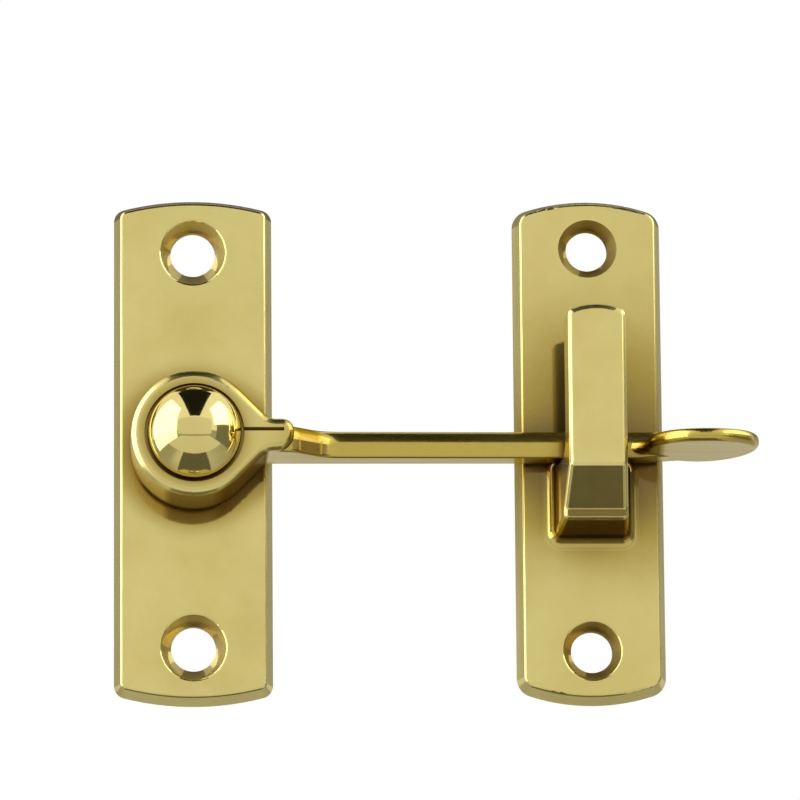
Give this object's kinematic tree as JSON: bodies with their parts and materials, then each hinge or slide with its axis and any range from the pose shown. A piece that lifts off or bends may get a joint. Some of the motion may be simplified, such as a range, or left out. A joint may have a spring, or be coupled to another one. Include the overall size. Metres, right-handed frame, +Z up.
{
  "type": "shutter latch",
  "caption": "Brass shutter latch: a flat bar with an eye and a dished thumb piece swings on a domed stud and drops into an upright hook on a matching keeper plate.",
  "frame": {"origin": "on the bar's pivot axis, midway between the latch plate's screw holes, at the plate's back face", "axes": "+X along the closed bar towards the keeper, +Y into the shutter that the plates are screwed to, +Z up"},
  "size_m": [0.0636, 0.0167, 0.0512],
  "materials": {
    "plate_brass": "polished and lacquered",
    "polished_brass": "mirror polished",
    "bar_brass": "polished and lacquered",
    "keeper_brass": "polished and lacquered"
  },
  "bodies": {
    "plates": {"latch_plate": "plate_brass", "pivot_stud": "polished_brass", "keeper_plate": "keeper_brass"},
    "bar": {"latch_bar": "bar_brass"}
  },
  "joints": [
    {"name": "bar_swing", "type": "hinge", "parent": "plates", "child": "bar", "pos_m": [0, 0, 0], "axis": [0, -1, 0], "range_deg": [0, 344]}
  ]
}
